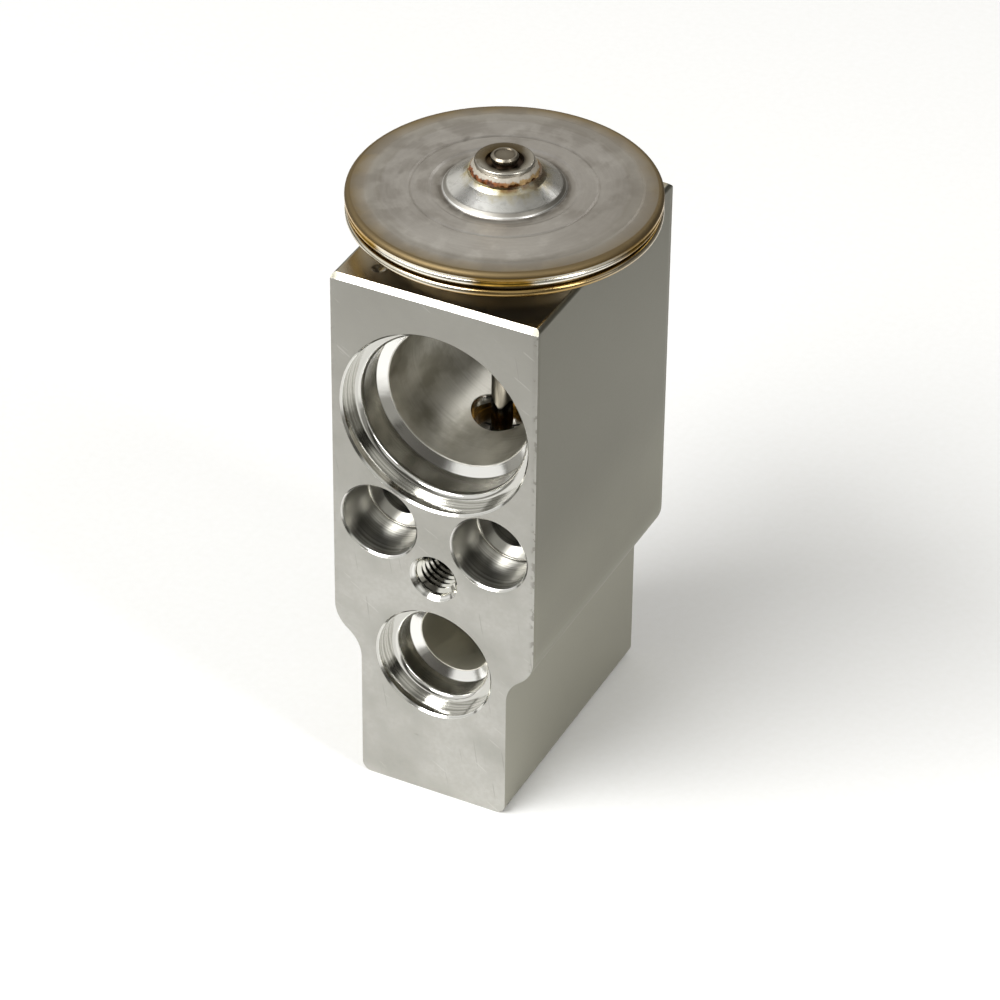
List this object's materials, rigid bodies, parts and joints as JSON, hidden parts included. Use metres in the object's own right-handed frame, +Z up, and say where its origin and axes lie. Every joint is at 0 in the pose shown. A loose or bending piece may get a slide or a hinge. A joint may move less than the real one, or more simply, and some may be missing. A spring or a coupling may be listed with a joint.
{
  "type": "expansion valve",
  "caption": "Block-type thermostatic expansion valve with through suction passage, liquid ports, fixing holes, a diaphragm head on top and a spring-loaded ball valve inside.",
  "frame": {"origin": "Centre of the foot's underside, on the axis of the head, pin and adjusting screw.", "axes": "+Z points up through the head. -Y points out of the front face with the large suction port above and the small liquid port below. +X points to the right seen from the front."},
  "size_m": [0.0418, 0.0418, 0.0921],
  "materials": {
    "block_aluminium": "extruded and milled, bare",
    "head_steel": "pressed stainless steel, heat-tinted round the weld",
    "cap_steel": "turned stainless steel, welded",
    "plug_steel": "turned stainless steel, ground off",
    "sleeve_steel": "turned stainless steel with a thread",
    "diaphragm_steel": "thin cold-rolled stainless sheet",
    "plate_metal": "turned, bare",
    "seal_rubber": "moulded O-ring",
    "pin_steel": "ground stainless steel",
    "bush_brass": "turned, bare",
    "spring_steel": "spring steel",
    "seat_steel": "hardened stainless steel",
    "ball_steel": "polished bearing steel",
    "screw_brass": "turned, bare"
  },
  "bodies": {
    "block": {"valve_body": "block_aluminium", "head_lower_disc": "head_steel", "head_threaded_sleeve": "sleeve_steel", "head_cover": "head_steel", "charge_nipple": "cap_steel", "charge_plug": "plug_steel", "diaphragm": "diaphragm_steel", "head_o_ring": "seal_rubber", "pin_guide_bush": "bush_brass", "pin_o_ring": "seal_rubber", "pin_seal_retainer": "spring_steel", "valve_seat": "seat_steel", "superheat_spring": "spring_steel"},
    "valve_stem": {"operating_pin": "pin_steel", "diaphragm_plate": "plate_metal", "valve_ball": "ball_steel", "ball_carrier": "seat_steel", "damping_spring": "spring_steel"},
    "adjuster_seal": {"adjuster_o_ring": "seal_rubber"},
    "adjuster": {"adjusting_screw": "screw_brass"}
  },
  "joints": [
    {"name": "valve_stroke", "type": "slide", "parent": "block", "child": "valve_stem", "axis": [0, 0, -1], "range_m": [0, 0.0007], "stiffness_N_per_m": 400, "springref_m": -0.0008, "deforming": ["superheat_spring", "diaphragm"]},
    {"name": "adjuster_travel", "type": "slide", "parent": "block", "child": "adjuster_seal", "axis": [0, 0, 1], "range_m": [-0.0015, 0.0005], "deforming": ["superheat_spring"]},
    {"name": "adjuster_turn", "type": "hinge", "parent": "adjuster_seal", "child": "adjuster", "pos_m": [0, 0, 0.003], "axis": [0, 0, 1], "range_deg": [-540, 180]}
  ],
  "couplings": [
    {"joint": "adjuster_turn", "follows": "adjuster_travel", "rad_per_m": 6283}
  ]
}
